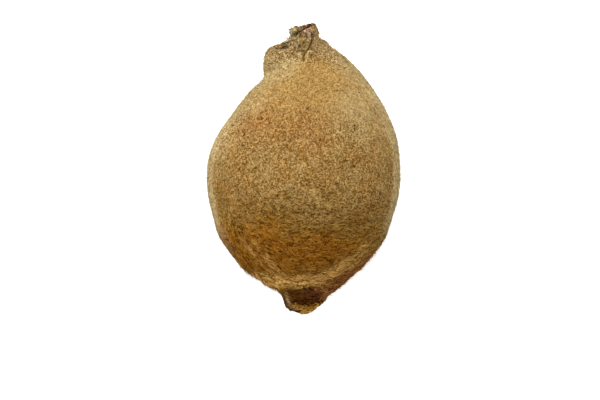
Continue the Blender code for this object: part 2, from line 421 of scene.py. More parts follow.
@dataclass(frozen=True)
class FeltFinish:
    """The golden-brown felt of the skin and its hair."""

    ochre: Colour = (0.335, 0.178, 0.043)
    tan: Colour = (0.365, 0.228, 0.07)
    # The pale of the brightest strands and the multipliers of gaps and strands: painted highlight and painted
    # shade over the hair's own tone.
    pale: Colour = (0.55, 0.42, 0.22)
    gap_shade: Colour = (0.45, 0.36, 0.12)
    strand: Colour = (1.6, 1.75, 2.3)
    tints: tuple[Tint, ...] = (
        Tint(Mark.GOLD, (0.45, 0.273, 0.083), 0.9, 0.1),
        Tint(Mark.WARM, (0.36, 0.165, 0.045), 0.5, 0.4),
        Tint(Mark.BROWN, (0.218, 0.099, 0.005), 1.0, 0.7),
        Tint(Mark.DEEP, (0.272, 0.097, 0.002), 0.9, 0.9),
        # Painted sheen round the sides, with paler patches.
        Tint(Mark.RIM, (0.52, 0.385, 0.165), 0.92, 0.8),
        Tint(Mark.FOLD, (0.24, 0.13, 0.025), 0.6, 0.4),
        Tint(Mark.SHOULDER, (0.36, 0.26, 0.10), 0.85, 1.6),
        Tint(Mark.NECK, (0.335, 0.215, 0.082), 0.85, 0.9),
        # Paler felt with a painted highlight on the lip, its wrinkles and the ridge.
        Tint(Mark.LIP, (0.71, 0.395, 0.097), 0.95, 0.6),
        # Painted shade beyond the lip.
        Tint(Mark.BAND, (0.285, 0.106, 0.02), 0.85, 0.8),
        Tint(Mark.PIT, (0.25, 0.11, 0.01), 0.8, 0.2),
        Tint(Mark.TIP, (0.46, 0.21, 0.024), 0.9, 0.9),
        # The hollow's own dark red-brown, deepened by painted shade.
        Tint(Mark.HOLLOW, (0.027, 0.002, 0.001), 1.0, 0.9, 0.17),
        Tint(Mark.GLINT, (0.52, 0.30, 0.11), 0.65, 0.6),
        # Painted shade and shadow in the creases, over their own dark and the dark specks.
        Tint(Mark.CREASE, (0.03, 0.012, 0.002), 1.0),
    )

    def colour(self, recipe: Recipe, light: Value) -> Socket:
        """The felt's colour from place to place, without the fine grain.

        Args:
            recipe: The material's builder.
            light: 0 in the gaps and 1 on the strands.

        Returns:
            The colour.
        """
        blotch = recipe.speckle((330.0, 330.0, 330.0), 3.0, 0.55)
        patches = recipe.speckle((1000.0, 1000.0, 1000.0), 2.0, 0.6) - 0.5
        base = recipe.mix(blotch.eased(0.34, 0.66), self.ochre, self.tan)
        for tint in self.tints:
            share = recipe.mark(tint.mark)
            cover = (share * tint.strength + patches * share * tint.mottle).kept()
            if tint.let_through:
                cover = cover * (1.0 - light * tint.let_through)
            base = recipe.mix(cover, base, tint.colour)
        return base

    def toned(self, recipe: Recipe, light: Value) -> Socket:
        """Returns the colour, with painted shade deep in the gaps and painted highlight pale on the strands;
        the arguments are colour's.
        """
        base = self.colour(recipe, light)
        shaded = recipe.mix(1.0, base, recipe.mix(light, self.gap_shade, self.strand), "MULTIPLY")
        # Painted highlight: the brightest strands turn towards pale, except in the hollow.
        glow = (light - 0.5).kept() * (1.0 - recipe.mark(Mark.HOLLOW))
        return recipe.mix(glow * (0.3 - recipe.mark(Mark.LOWER) * 0.12), shaded, self.pale)

    def grain(self, recipe: Recipe) -> Value:
        """Light strands and dark gaps, the hair's own tone with painted highlight and shade: curls, and long
        strands at the sides and the brown end.

        Args:
            recipe: The material's builder.

        Returns:
            0 in the gaps and 1 on the strands.
        """
        side = recipe.mark(Mark.SIDE)
        lower = recipe.mark(Mark.LOWER)
        gold = recipe.mark(Mark.GOLD)
        curls = recipe.lines(recipe.speckle((2300.0, 2300.0, 2300.0), 1.5, 0.6, 1.2), 0.14)
        across = recipe.lines(recipe.noise_at(recipe.flow(Flow.ACROSS), 1.5, 0.6, 0.6), 0.13)
        along = recipe.lines(recipe.noise_at(recipe.flow(Flow.ALONG), 1.5, 0.6, 0.3), 0.13)
        short = (1.0 - side * 0.5 - lower).kept()
        strands = curls * short * (0.8 - gold * 0.3) + across * lower * 1.15 + along * side * 0.5
        specks = recipe.speckle((4900.0, 4900.0, 4900.0), 1.0, 0.6).eased(0.36, 0.64)
        clumps = (recipe.speckle((1300.0, 2100.0, 1300.0), 1.5, 0.6, 0.5) - 0.5) * (lower * 2.3 + 0.3)
        contrast = 1.1 - gold * 0.6 + recipe.mark(Mark.NECK) * 0.35 + lower * 1.15
        contrast = contrast + recipe.mark(Mark.SHOULDER) * 0.35
        return ((strands * 0.8 + specks * (lower * 0.25 + 0.65) - 0.6 + clumps) * contrast + 0.42).kept()

    def skin(self) -> Material:
        """Makes the material of the skin under the hair."""
        recipe = Recipe("felted_skin")
        grain = self.grain(recipe)
        bumps = recipe.bumps(grain, 0.5)
        return recipe.surface(self.toned(recipe, grain * 0.85), 0.95, 0.01, Normal=bumps)

    def hair(self) -> Material:
        """Makes the material of the short hairs."""
        recipe = Recipe("felt_hair")
        lower = recipe.mark(Mark.LOWER)
        light = self.grain(recipe) * (lower * 0.3 + 0.75) + recipe.mark("tone") * (lower * 0.4 + 0.45)
        light = light - (lower * 0.33 + 0.1)
        return recipe.surface(self.toned(recipe, light), 0.85, 0.01)

    def lock(self) -> Material:
        """Makes the material of the thicker locks of hair, some of them light and some dark."""
        recipe = Recipe("felt_lock")
        lower = recipe.mark(Mark.LOWER)
        tone = recipe.mark("tone").eased(0.38, 0.8)
        light = tone * (lower * 0.55 + 0.75) + self.grain(recipe) * 0.25 + 0.09 - lower * 0.19
        return recipe.surface(self.toned(recipe, light), 0.8, 0.02)


@dataclass(frozen=True)
class CalyxFinish:
    """The brittle, mottled brown of the withered calyx, with painted shade in its recesses."""

    tan: Colour = (0.26, 0.172, 0.06)
    brown: Colour = (0.13, 0.070, 0.019)
    neck: Colour = (0.37, 0.245, 0.105)
    olive: Colour = (0.46, 0.37, 0.185)
    pink: Colour = (0.58, 0.37, 0.225)
    # The colour of painted shade in the cup, slit and creases; also the scar's and the specks' own dark.
    dark: Colour = (0.035, 0.016, 0.007)

    def material(self) -> Material:
        """Makes the calyx's material."""
        recipe = Recipe("withered_calyx")
        blotch = recipe.speckle((1300.0, 900.0, 1300.0), 3.0, 0.65)
        spots = recipe.speckle((4300.0, 3000.0, 4300.0), 1.5, 0.6, 0.6)
        base = recipe.mix(blotch.eased(0.4, 0.6), self.tan, self.brown)
        base = recipe.mix(recipe.mark("olive") * 0.8, base, self.olive)
        base = recipe.mix(recipe.mark("pink") * blotch.eased(0.62, 0.42), base, self.pink)
        ridge = recipe.mark("ridge")
        base = recipe.mix(ridge.eased(0.35, 0.0) * 0.45, base, self.brown)
        base = recipe.mix(recipe.mark("felted") * 0.85, base, self.neck)
        # Painted shade in the cup, the slit, the crease, the tongue's edge and low hollows, over the scar's
        # and the specks' own dark.
        base = recipe.mix(recipe.mark("recess"), base, self.dark)
        base = recipe.mix(recipe.mark("scar") * blotch.eased(0.42, 0.6) * 0.8, base, self.brown)
        shade = spots.eased(0.36, 0.64) * 1.05 + 0.42
        colour = recipe.mix(1.0, base, shade.socket, "MULTIPLY")
        return recipe.surface(colour, 0.85, 0.06, Normal=recipe.bumps(spots, 0.7))

    def fuzz(self) -> Material:
        """Makes the material of the sparse hairs and shreds on the calyx."""
        recipe = Recipe("calyx_fuzz")
        tone = recipe.mark("tone")
        base = recipe.mix(tone.eased(0.1, 0.9), self.brown, self.tan)
        base = recipe.mix(recipe.mark("olive") * 0.6, base, self.olive)
        base = recipe.mix(recipe.mark("felted") * 0.7, base, self.neck)
        # Painted shade on the hairs in the recesses.
        base = recipe.mix(recipe.mark("recess"), base, self.dark)
        return recipe.surface(base, 0.85, 0.1)


@dataclass(frozen=True)
class TableFinish:
    """A plain white table."""

    white: Colour = (0.86, 0.86, 0.86)
    grey: Colour = (0.8, 0.8, 0.8)
    glow: float = 0.62

    def material(self) -> Material:
        """Makes the table's material."""
        recipe = Recipe("white_table")
        fleck = recipe.speckle((60.0, 60.0, 60.0), 2.0)
        colour = recipe.mix(fleck.eased(0.2, 0.8) * 0.02, self.white, self.grey)
        white_light = (1.0, 1.0, 1.0)
        return recipe.surface(colour, 0.9, Emission_Color=white_light, Emission_Strength=self.glow)


def placed(name: str, data: bpy.types.ID) -> Piece:
    """Puts an object of this name and data into the scene and returns it."""
    made = bpy.data.objects.new(name, data)
    bpy.context.scene.collection.objects.link(made)
    return made


def mesh_from(bm: bmesh.types.BMesh, name: str) -> Mesh:
    """Makes a mesh of this name from a bmesh, which is freed."""
    mesh = bpy.data.meshes.new(name)
    bm.to_mesh(mesh)
    bm.free()
    return mesh


@dataclass
class FineCopy:
    """A smooth, finer copy of a CAD node's mesh."""

    node: str
    name: str
    levels: int = 2

    def make(self) -> Piece:
        """Returns a copy with its loose triangles merged into quads and subdivided."""
        bm = bmesh.new()
        bm.from_mesh(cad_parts[self.node].data)
        bmesh.ops.remove_doubles(bm, verts=bm.verts, dist=2e-7)
        limits = {"angle_face_threshold": math.radians(60.0), "angle_shape_threshold": math.radians(80.0)}
        bmesh.ops.join_triangles(bm, faces=bm.faces, **limits)
        for face in bm.faces:
            face.smooth = True
        made = placed(self.name, mesh_from(bm, self.name))
        finer = made.modifiers.new("finer", "SUBSURF")
        finer.levels = finer.render_levels = self.levels
        return apply_modifiers(made)


def apply_modifiers(made: Piece) -> Piece:
    """Replaces an object's mesh by what its modifiers make of it, and returns the object."""
    graph = bpy.context.evaluated_depsgraph_get()
    mesh = bpy.data.meshes.new_from_object(made.evaluated_get(graph), depsgraph=graph)
    made.modifiers.clear()
    old, made.data = made.data, mesh
    mesh.name = made.name
    bpy.data.meshes.remove(old)
    return made


def points_of(mesh: Mesh) -> tuple[Array, Array]:
    """Returns the places and the normals of a mesh's points, one row each."""
    places = np.empty(len(mesh.vertices) * 3)
    normals = np.empty(len(mesh.vertices) * 3)
    mesh.vertices.foreach_get("co", places)
    mesh.vertex_normals.foreach_get("vector", normals)
    return places.reshape(-1, 3), normals.reshape(-1, 3)


def move_points(mesh: Mesh, at: Array, normals: Array, height: Array) -> None:
    """Moves a mesh's points to these places, and outwards by a height; both are in millimetres."""
    mesh.vertices.foreach_set("co", (at * MM + normals * (height * MM)[:, None]).ravel())
    mesh.update()


def keep_values(mesh: Mesh, name: str, values: Array) -> None:
    """Keeps a value, or a direction, at each point of a mesh.

    Args:
        mesh: The mesh.
        name: What it is called.
        values: One number, or a row of three, for each point.
    """
    kind, field_name = ("FLOAT", "value") if values.ndim == 1 else ("FLOAT_VECTOR", "vector")
    made = mesh.attributes.new(name, kind, "POINT")
    made.data.foreach_set(field_name, values.astype(np.float32).ravel())


@dataclass
class Husk:
    """The fruit's skin, with the small relief that felted hair gives it. Lengths are in millimetres."""

    lip_x: float = -1.2
    lip_station: float = -14.0
    lip_curve_right: float = 0.05
    lip_curve_left: float = 0.015
    tuft_size: float = 0.5
    tuft_height: float = 0.03
    ridge_size: float = 1.5  # in strands
    side_strand_height: float = 0.03
    cross_strand_height: float = 0.035
    cross_wrinkle_height: float = 0.05
    wrinkle_height: float = 0.03
    wrinkle_spread: float = 0.22
    pit_depth: float = 0.15
    crease_depth: float = 0.12
    tongue_rise: float = 0.26
    tongue_spread: float = 0.42
    pleat_size: float = 0.6
    pleat_height: float = 0.05
    strand_length: float = 1.1
    strand_width: float = 0.28
    bend_size: float = 2.5
    bend_height: float = 0.7
    flow_curve: float = 0.05
    warm: Patch = Patch(0.2, 4.6, 3.2, 2.6)
    warm_left: Patch = Patch(-5.6, 5.9, 2.8, 2.6)
    olive: Patch = Patch(6.8, 7.5, 2.8, 3.2, 0.8)
    pit: Patch = Patch(0.0, 1.5, 0.32, 0.7)
    sepal_shadow_end: Patch = Patch(-2.25, 15.15, 0.45, 0.22)
    hollow: tuple[Patch, ...] = (Patch(-0.85, -15.2, 1.3, 1.05), Patch(1.15, -15.35, 1.3, 1.2))
    sepal_shadow: Line = ((-3.25, 14.85), (-1.9, 15.0))
    highlight_strip: Line = ((-4.9, 11.5), (-3.0, 12.4), (-1.6, 13.2))
    pale_edge: Line = ((3.4, 14.0), (4.8, 12.6), (6.2, 11.0))
    beak_shadow: Line = ((-2.7, -15.2), (-2.3, -15.95), (-1.6, -16.7), (-0.8, -17.2))
    beak_edge: Line = ((-2.15, -15.1), (-1.65, -16.0), (-1.0, -16.6), (-0.2, -16.9))
    ridge_highlight: Line = ((7.3, -8.6), (5.6, -10.7), (3.8, -12.0), (1.6, -13.5))
    wrinkles: tuple[Line, ...] = (
        ((-7.5, -8.0), (-5.6, -10.6), (-3.2, -12.9), (-0.5, -13.9)),
        ((-6.5, -7.6), (-4.4, -11.0), (-1.8, -13.2)),
        ((-5.2, -8.9), (-3.6, -11.4), (-2.6, -12.5)),
    )
    tongue_edge: Line = (
        (-0.9, 16.2), (-1.35, 15.3), (-1.1, 14.4), (-0.45, 13.8),
        (0.15, 13.4), (0.6, 13.9), (1.3, 15.1), (1.35, 16.0),
    )
    dents: tuple[Patch, ...] = (
        Patch(-3.9, -14.55, 1.1, 0.5, -0.28),
        Patch(-2.95, -15.1, 0.35, 0.22, -0.16),
        Patch(-2.0, -16.3, 0.9, 0.8, 0.3),
        Patch(2.6, -15.6, 0.8, 0.9, 0.17),
        Patch(2.9, 15.75, 0.8, 0.45, -0.2),
        Patch(0.1, 14.1, 0.6, 0.55, 0.2),
        Patch(-9.3, 7.2, 2.2, 3.2, -0.26),
        Patch(-10.0, -7.7, 2.5, 2.0, 0.26),
        Patch(9.7, -8.2, 2.5, 1.8, 0.2),
        Patch(-5.7, -13.3, 1.8, 1.3, -0.3),
        Patch(5.6, -13.3, 1.8, 1.3, -0.22),
        Patch(-1.4, -16.9, 0.9, 0.7, 0.26),
    )

    def build(self) -> Piece:
        """Makes the skin and returns it."""
        self.piece = FineCopy("fruit", "husk").make()
        mesh = self.piece.data
        places, normals = points_of(mesh)
        at = NeckShape().slimmed(places / MM)
        self.read_marks(at, normals)
        move_points(mesh, at, normals, self.relief(at, normals))
        for mark, values in (self.marks | self.flows).items():
            keep_values(mesh, mark.value, values)
        keep_values(mesh, Flow.LIE.value, self.lie(at, normals))
        mesh.materials.clear()
        mesh.materials.append(FeltFinish().skin())
        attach(self.piece, "root")
        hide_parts("fruit")
        return self.piece

    def beyond_lip(self, x: Array, y: Array) -> Array:
        """Returns how far past the lip's foot each point is, towards the beak."""
        off = x - self.lip_x
        curve = np.where(off > 0, self.lip_curve_right, self.lip_curve_left)
        return self.lip_station + curve * off * off - y

    def read_marks(self, at: Array, normals: Array) -> None:
        """Works out where the skin is brown, pale or dark; the arguments are those of relief."""
        face = ease(normals[:, 2], -0.05, 0.3)
        self.marks = {Mark.SIDE: ease(np.abs(normals[:, 0]), 0.7, 0.9)}
        self.mark_ground(at, normals[:, 2], face)
        self.mark_lip(at, normals[:, 2], face)
        self.mark_ends(at, normals[:, 2], face)
        bare = np.maximum(self.marks[Mark.CREASE], hill(self.to_crease, 0.42) * face)
        bare = np.maximum(bare, self.marks[Mark.HOLLOW])
        self.marks[Mark.COVER] = ease(at[:, 2], 0.5, 1.6) * (1.0 - bare)
        self.marks[Mark.STRANDS] = self.marks[Mark.LOWER] * self.marks[Mark.COVER]
        self.marks[Mark.STRANDS] *= ease(at[:, 1], -15.4, -14.0)

    def mark_ground(self, at: Array, level: Array, face: Array) -> None:
        """Marks the wide patches of colour, the painted sheen round the sides and the painted highlight below
        the shoulder.

        Args:
            at: The points, in millimetres.
            level: How far each faces up, from -1 to 1.
            face: 1 on the side that faces up and 0 on the other.
        """
        x, y = at[:, 0], at[:, 1]
        swell = wander(at, 3.5, 4.7)
        steep = np.abs(level) + 0.15 * swell + 0.06 * wander(at, 0.8, 2.6) - 0.1 * ease(y, 0.0, 4.0)
        warm_left = self.warm_left.values(x, y)
        gold = ease(y + swell + 0.4 * np.maximum(x - 3.0, 0.0), 3.5, 9.0) * ease(y, 13.6, 12.0)
        # A painted highlight on the saddle below the shoulder, which faces the light.
        strip = np.clip(1.2 * hill(line_distance(x, y, self.highlight_strip), 0.8), 0.0, 1.0)
        pale = np.maximum(strip, 0.8 * hill(line_distance(x, y, self.pale_edge), 0.9))
        pale = np.maximum(self.olive.values(x, y), pale) * face
        # Painted sheen where the sides turn steeply away.
        rim = ease(steep, 0.62, 0.25) * ease(y + swell, -11.0 + ease(x, 2.0, 6.0), -4.0)
        brown = ease(y + 1.2 * swell + 0.04 * (x + 1.0), 0.6, -9.4)
        deep = ease(y + 1.5 * swell + 0.1 * (x + 1.0), -5.5, -9.0)
        sideways = self.marks[Mark.SIDE]
        fold = hill((np.abs(level) - 0.58) / 0.07, 1.0) * sideways
        fold *= ease(y, -11.0, -8.0) * ease(y, 6.0, 3.0)
        self.marks |= {
            Mark.GOLD: gold * (1.0 - 0.6 * warm_left),
            Mark.WARM: np.clip(self.warm.values(x, y) + warm_left, 0.0, 1.0) * face,
            Mark.BROWN: brown,
            Mark.LOWER: brown * (1.0 - sideways),
            Mark.DEEP: deep * ease(self.beyond_lip(x, y), -0.9, -2.6),
            Mark.RIM: np.maximum(rim, pale),
            Mark.FOLD: fold * (1.0 - 0.7 * ease(y, -4.0, -1.0) * ease(x, 0.0, -2.0)),
            Mark.SHOULDER: ease(x, -0.8, -2.2) * ease(y - 0.55 * (x + 3.0), 12.7, 13.6),
            Mark.NECK: ease(y, 12.6, 14.5),
            Mark.PIT: self.pit.values(x, y) * face,
        }

    def mark_lip(self, at: Array, level: Array, face: Array) -> None:
        """Marks the lip and its wrinkles, pale partly by painted highlight, and the strip of painted shade
        beyond it; the arguments are those of mark_ground.
        """
        x, y = at[:, 0], at[:, 1]
        beyond = self.beyond_lip(x, y)
        lip = ease(beyond, -1.9, -0.8) * ease(beyond, 0.3, -0.1)
        self.lip_share = lip * ease(np.abs(x - 0.5), 9.0, 6.0)
        self.pleat = np.cos(2.0 * math.pi * (beyond + 0.3 * wander(at, 1.6, 3.1)) / self.pleat_size)
        lip = self.lip_share * (0.62 + 0.38 * self.pleat) * (1.0 - 0.5 * ease(x, 3.0, 6.0))
        # A painted highlight along the ridge, which catches the light above the shaded strip.
        ridge = hill(line_distance(x, y, self.ridge_highlight), 0.42) * (0.3 + 0.45 * ease(x, 6.5, 4.0))
        folded = [hill(line_distance(x, y, line), self.wrinkle_spread) for line in self.wrinkles]
        self.wrinkle = np.max(folded, axis=0) * face
        wrinkle = 0.42 * self.wrinkle * ease(wander(at, 0.9, 1.6), -0.4, 0.2)
        # Painted shade where the skin falls away beyond the lip.
        band = ease(beyond, -0.1, 0.45) * ease(x, -0.5, 2.0) * ease(x, 10.5, 8.0)
        self.marks[Mark.LIP] = np.maximum(np.maximum(lip, ridge), wrinkle) * face
        self.marks[Mark.BAND] = band * ease(y, -16.2, -15.2) * ease(level, -0.3, 0.1)

    def mark_ends(self, at: Array, level: Array, face: Array) -> None:
        """Marks the hollow, the edges and the creases, with painted shade in the hollow and the creases and
        painted shadow under the sepal's edge and along the beak; the arguments are those of mark_ground.
        """
        x, y = at[:, 0], at[:, 1]
        rough = wander(at, 0.45, 6.6)
        self.to_crease = line_distance(x, y, CREASE)
        # The hollow's own dark, deepened by painted shade.
        hollow = sum(patch.values(x, y) for patch in self.hollow) + 0.35 * rough
        hollow = hollow + 0.5 * wander(at, (0.5, 0.22, 0.5), 3.4)
        # Painted shade in the crease and painted shadow under the sepal's edge; the dark specks are the
        # neck's own colour.
        crease = hill(self.to_crease, 0.16 + 0.03 * rough) + hill(line_distance(x, y, self.sepal_shadow), 0.15)
        crease += self.sepal_shadow_end.values(x, y) + 0.9 * near_specks(x, y)
        # Painted shadow along the beak's outer edge.
        shadow = hill(line_distance(x, y, self.beak_shadow), 0.38) * ease(level, -0.7, -0.4)
        glint = hill(line_distance(x, y, self.beak_edge), 0.16) * ease(rough, -0.6, 0.1)
        collar = ease(y + 0.5 * ease(x, 0.9, 1.4), 15.4, 15.9)
        self.marks |= {
            Mark.HOLLOW: ease(hollow, 0.22, 0.5) * face,
            Mark.GLINT: glint * face,
            Mark.CREASE: np.clip(crease * ease(level, -0.1, 0.1) + shadow, 0.0, 1.0),
            Mark.TIP: ease(y + 0.3 * rough, -16.0, -16.5),
            Mark.COLLAR: collar * ease(self.to_crease, 0.15, 0.4),
        }

    def read_flows(self, at: Array) -> None:
        """Works out where each of these points is in the patterns of strands."""
        x, y, up = at[:, 0], at[:, 1], at[:, 2] - SPINE_HEIGHT
        turned = np.arctan2(up, x)
        round_body = 9.0  # mm, about the radius of the body
        off = x - self.lip_x
        curve = self.flow_curve * off * off * ease(y, -3.0, -12.0)
        bent = y - curve + self.bend_height * wander(at, self.bend_size, 2.2)
        long, wide = self.strand_length, self.strand_width
        self.flows = {
            Flow.ACROSS: np.column_stack((off / long, bent / wide, up / long)),
            Flow.ALONG: np.column_stack((
                np.cos(turned) * round_body / wide, y / (2.0 * long), np.sin(turned) * round_body / wide,
            )),
        }

    def relief(self, at: Array, normals: Array) -> Array:
        """How far each point of the skin is raised.

        Args:
            at: The points, in millimetres.
            normals: Their normals.

        Returns:
            The heights, in millimetres.
        """
        self.read_flows(at)
        x, y = at[:, 0], at[:, 1]
        side, lower = self.marks[Mark.SIDE], self.marks[Mark.LOWER]
        along = ridges(self.flows[Flow.ALONG], self.ridge_size, 11.3)
        across = ridges(self.flows[Flow.ACROSS], self.ridge_size, 5.1)
        wrinkled = ease(y, -10.5, -12.5)
        tongue = hill(line_distance(x, y, self.tongue_edge), self.tongue_spread)
        heights = (
            self.side_strand_height * along * side
            + (self.cross_strand_height + self.cross_wrinkle_height * wrinkled) * across * lower
            + self.tuft_height * wander(at, self.tuft_size, 8.8)
            + self.wrinkle_height * self.wrinkle
            + self.pleat_height * self.pleat * self.lip_share
            + self.tongue_rise * tongue * ease(normals[:, 2], 0.0, 0.4)
            + sum(dent.values(x, y) for dent in self.dents)
            - self.pit_depth * self.marks[Mark.PIT]
            - self.crease_depth * self.marks[Mark.CREASE]
        )
        return heights * ease(at[:, 2], 0.15, 0.8)

    def lie(self, at: Array, normals: Array) -> Array:
        """Returns the way the hair lies at each point, along the skin; the arguments are relief's."""
        x, y = at[:, 0], at[:, 1]
        swirl = wander(at, 4.0, 7.1) * 2.4 + math.pi * ease(y, 13.6, 15.2)
        near = hill(self.to_crease, 0.6)[:, None]
        round_end = np.column_stack((np.sin(swirl), -np.cos(swirl), np.zeros(len(at))))
        round_end = round_end * (1.0 - near) + np.array([0.3, 0.95, 0.0]) * near
        step = np.array([0.1, 0.0, 0.0])
        bend = (wander(at + step, self.bend_size, 2.2) - wander(at, self.bend_size, 2.2)) / step[0]
        slope = 2.0 * self.flow_curve * (x - self.lip_x) * ease(y, -3.0, -12.0) - self.bend_height * bend
        across = np.column_stack((np.ones(len(at)), slope, np.zeros(len(at))))
        share = (ease(y, 1.0, -6.0) * (1.0 - self.marks[Mark.SIDE]))[:, None]
        side = self.marks[Mark.SIDE][:, None] * ease(y, 12.0, 9.0)[:, None]
        outline = np.array([0.0, -1.0, 0.0])
        flat = (round_end * (1.0 - share) + across * share) * (1.0 - side) + outline * side
        lies = flat - normals * (flat * normals).sum(1)[:, None]
        return lies / np.maximum(np.linalg.norm(lies, axis=1), 1e-6)[:, None]


@dataclass(frozen=True)
class Hair:
    """One kind of hair. Lengths are in millimetres, the bend in the hair's own widths."""

    length: tuple[float, float]
    width: tuple[float, float]
    flatness: float = 1.0
    bend: float = 0.0
    cuts: int = 0

    def pattern(self) -> Piece:
        """Returns one hair, one unit long along Z and one wide, which isn't rendered."""
        bm = bmesh.new()
        tip = 0.12 if self.cuts else 0.0
        bmesh.ops.create_cone(bm, cap_ends=True, segments=3, radius1=0.5, radius2=tip, depth=1.0)
        bmesh.ops.translate(bm, verts=bm.verts, vec=(0.0, 0.0, 0.5))
        bmesh.ops.remove_doubles(bm, verts=bm.verts, dist=1e-5)
        if self.cuts:
            long_edges = [edge for edge in bm.edges if edge.calc_length() > 0.9]
            bmesh.ops.subdivide_edges(bm, edges=long_edges, cuts=self.cuts)
        for vert in bm.verts:
            vert.co.x += self.bend * math.sin(1.5 * math.pi * vert.co.z)
        made = placed("hair_pattern", mesh_from(bm, "hair_pattern"))
        made.hide_render = True
        return made


@dataclass
class HairLayer:
    """Hairs that grow on a piece and lie along it, so many to the square millimetre where it is marked."""

    name: str
    hair: Hair
    to_mm2: float
    seed: int
    rise: float = 0.2
    untidiness: float = 0.4
    where: Mark = Mark.COVER

    def build(self, skin: Piece, finish: Material, slot: str) -> Piece:
        """Grows the layer.

        Args:
            skin: The object that the hair grows on.
            finish: The hair's material.
            slot: Not used.

        Returns:
            The layer's object.
        """
        pattern = self.hair.pattern()
        layer = placed(self.name, skin.data.copy())
        grow = layer.modifiers.new("grow", "NODES")
        grow.node_group = self.growth(pattern)
        apply_modifiers(layer)
        kept_names = {mark.value for mark in Mark} | {flow.value for flow in Flow} - {Flow.LIE.value}
        kept_names |= {"tone", "ridge", "recess", "olive", "pink", "felted"}
        for name in [found.name for found in layer.data.attributes]:
            if name not in kept_names and not layer.data.attributes[name].is_required:
                layer.data.attributes.remove(layer.data.attributes[name])
        layer.data.materials.clear()
        layer.data.materials.append(finish)
        bpy.data.objects.remove(pattern)
        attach(layer, "root")
        return layer

    def growth(self, pattern: Piece) -> bpy.types.NodeTree:
        """Returns the nodes that scatter copies of one hair and make them real."""
        tree = bpy.data.node_groups.new(f"growth_of_{self.name}", "GeometryNodeTree")
        tree.interface.new_socket("Skin", in_out="INPUT", socket_type="NodeSocketGeometry")
        tree.interface.new_socket("Hair", in_out="OUTPUT", socket_type="NodeSocketGeometry")
        w = Wiring(tree)
        skin = w.node("NodeGroupInput").outputs[0]
        thickness = Value(w, self.named(w, "FLOAT", self.where.value)) * (self.to_mm2 * 1e6)
        spread = w.node(
            "GeometryNodeDistributePointsOnFaces", {"distribute_method": "RANDOM"},
            {"Mesh": skin, "Density": thickness, "Seed": self.seed},
        )
        toned = w.node(
            "GeometryNodeStoreNamedAttribute", {"data_type": "FLOAT", "domain": "POINT"},
            {"Geometry": spread.outputs["Points"], "Name": "tone", "Value": self.random(w, (0.0, 1.0), 1)},
        )
        lie = self.named(w, "FLOAT_VECTOR", Flow.LIE.value)
        normal = spread.outputs["Normal"]
        stray = self.vectors(w, "SCALE", self.random_way(w), by=self.untidiness)
        lift = self.vectors(w, "SCALE", normal, by=self.rise)
        way = self.vectors(w, "ADD", self.vectors(w, "ADD", lie, lift), stray)
        aside = self.vectors(w, "CROSS_PRODUCT", normal, way)
        turn = w.node("FunctionNodeAlignRotationToVector", {"axis": "Z"}, {"Vector": way})
        roll = w.node(
            "FunctionNodeAlignRotationToVector", {"axis": "X", "pivot_axis": "Z"},
            {"Rotation": turn.outputs[0], "Vector": aside},
        )
        wide = Value(w, self.random(w, self.hair.width, 3)) * MM
        long = Value(w, self.random(w, self.hair.length, 4)) * MM
        size = w.node("ShaderNodeCombineXYZ", None, {0: wide, 1: wide * self.hair.flatness, 2: long})
        hair = w.node("GeometryNodeObjectInfo", None, {"Object": pattern})
        sockets = {"Points": toned.outputs[0], "Instance": hair.outputs["Geometry"]}
        sockets |= {"Rotation": roll.outputs[0], "Scale": size.outputs[0]}
        sown = w.node("GeometryNodeInstanceOnPoints", None, sockets)
        real = w.node("GeometryNodeRealizeInstances", None, {"Geometry": sown.outputs[0]})
        w.node("NodeGroupOutput", None, {0: real.outputs[0]})
        return tree

    def random(self, w: Wiring, span: tuple[float, float], number: int) -> Socket:
        """Returns a random number for each hair."""
        sockets = {2: span[0], 3: span[1], "Seed": self.seed * 10 + number}
        return w.node("FunctionNodeRandomValue", {"data_type": "FLOAT"}, sockets).outputs[1]

    def random_way(self, w: Wiring) -> Socket:
        """Returns a random direction for each hair."""
        sockets = {0: (-1.0, -1.0, -1.0), 1: (1.0, 1.0, 1.0), "Seed": self.seed * 10 + 2}
        return w.node("FunctionNodeRandomValue", {"data_type": "FLOAT_VECTOR"}, sockets).outputs[0]

    @staticmethod
    def named(w: Wiring, kind: str, name: str) -> Socket:
        """Returns what the skin keeps under a name."""
        made = w.node("GeometryNodeInputNamedAttribute", {"data_type": kind}, {"Name": name})
        return made.outputs["Attribute"]

    @staticmethod
    def vectors(w: Wiring, operation: str, first: Any, second: Any = None, by: float = 1.0) -> Any:
        """Returns a sum of vectors: two combined, or one times a number."""
        sockets = {0: first, "Scale": by} if second is None else {0: first, 1: second}
        return w.node("ShaderNodeVectorMath", {"operation": operation}, sockets).outputs[0]


@dataclass
class HairCoat:
    """The skin's hair: fine layers, curls, strands on the brown end and a collar round the calyx."""

    fine: Hair = Hair((0.22, 0.5), (0.035, 0.065))
    curl: Hair = Hair((0.18, 0.42), (0.055, 0.1), 0.6, 0.9, 2)
    strand: Hair = Hair((0.45, 1.2), (0.08, 0.15), 0.5, 1.0, 2)
    collar: Hair = Hair((0.35, 0.75), (0.05, 0.09), 1.0, 1.0, 2)

    def build(self, skin: Piece) -> list[Piece]:
        """Grows the layers on the skin and returns their objects."""
        fine, lock = FeltFinish().hair(), FeltFinish().lock()
        layers = (
            (HairLayer("hair_layer_1", self.fine, 20.0, 31), fine),
            (HairLayer("hair_layer_2", self.fine, 20.0, 32), fine),
            (HairLayer("hair_curls", self.curl, 4.6, 33, 0.3, 0.7), lock),
            (HairLayer("hair_strands", self.strand, 14.0, 34, 0.12, 0.35, Mark.STRANDS), lock),
            (HairLayer("hair_collar", self.collar, 22.0, 37, 0.45, 0.5, Mark.COLLAR), fine),
        )
        return [layer.build(skin, finish, "husk") for layer, finish in layers]


